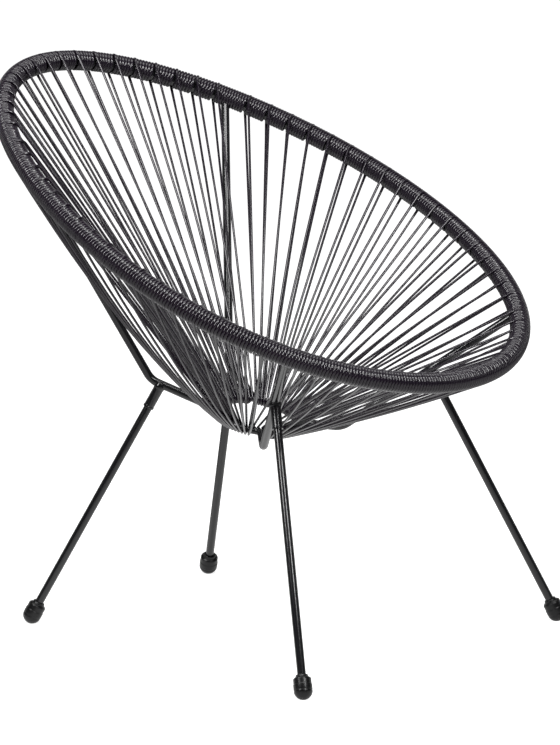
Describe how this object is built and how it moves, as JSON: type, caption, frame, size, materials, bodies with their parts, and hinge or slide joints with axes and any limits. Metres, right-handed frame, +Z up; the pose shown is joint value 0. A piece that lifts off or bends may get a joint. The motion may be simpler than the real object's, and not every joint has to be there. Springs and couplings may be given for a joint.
{
  "type": "acapulco chair",
  "caption": "Low lounge chair with a tilted oval steel rim, a bowl of strung plastic cord, bent supports and splayed screw-in legs.",
  "frame": {"origin": "on the floor, under the middle of the oval rim and of the chair's outline", "axes": "+Z up; -Y towards the front, the way the sitter faces; +X towards the sitter's left"},
  "size_m": [0.7342, 0.8729, 0.854],
  "materials": {
    "frame_steel": "satin powder coat",
    "zinc_steel": "zinc plated",
    "seat_cord": "satin extruded cord",
    "foot_rubber": "matte moulded"
  },
  "bodies": {
    "root": {"rim_tube": "frame_steel", "lower_ring": "frame_steel", "support_front_left": "frame_steel", "leg_socket_front_left": "frame_steel", "socket_insert_front_left": "zinc_steel", "leg_front_left": "frame_steel", "leg_stud_front_left": "zinc_steel", "foot_cap_front_left": "foot_rubber", "support_back_left": "frame_steel", "leg_socket_back_left": "frame_steel", "socket_insert_back_left": "zinc_steel", "leg_back_left": "frame_steel", "leg_stud_back_left": "zinc_steel", "foot_cap_back_left": "foot_rubber", "support_back_right": "frame_steel", "leg_socket_back_right": "frame_steel", "socket_insert_back_right": "zinc_steel", "leg_back_right": "frame_steel", "leg_stud_back_right": "zinc_steel", "foot_cap_back_right": "foot_rubber", "support_front_right": "frame_steel", "leg_socket_front_right": "frame_steel", "socket_insert_front_right": "zinc_steel", "leg_front_right": "frame_steel", "leg_stud_front_right": "zinc_steel", "foot_cap_front_right": "foot_rubber", "seat_cord_front_1": "seat_cord", "seat_cord_front_2": "seat_cord", "seat_cord_front_3": "seat_cord", "seat_cord_left_1": "seat_cord", "seat_cord_left_2": "seat_cord", "seat_cord_left_3": "seat_cord", "seat_cord_left_4": "seat_cord", "seat_cord_back_1": "seat_cord", "seat_cord_back_2": "seat_cord", "seat_cord_back_3": "seat_cord", "seat_cord_right_1": "seat_cord", "seat_cord_right_2": "seat_cord", "seat_cord_right_3": "seat_cord", "seat_cord_right_4": "seat_cord"}
  },
  "joints": []
}
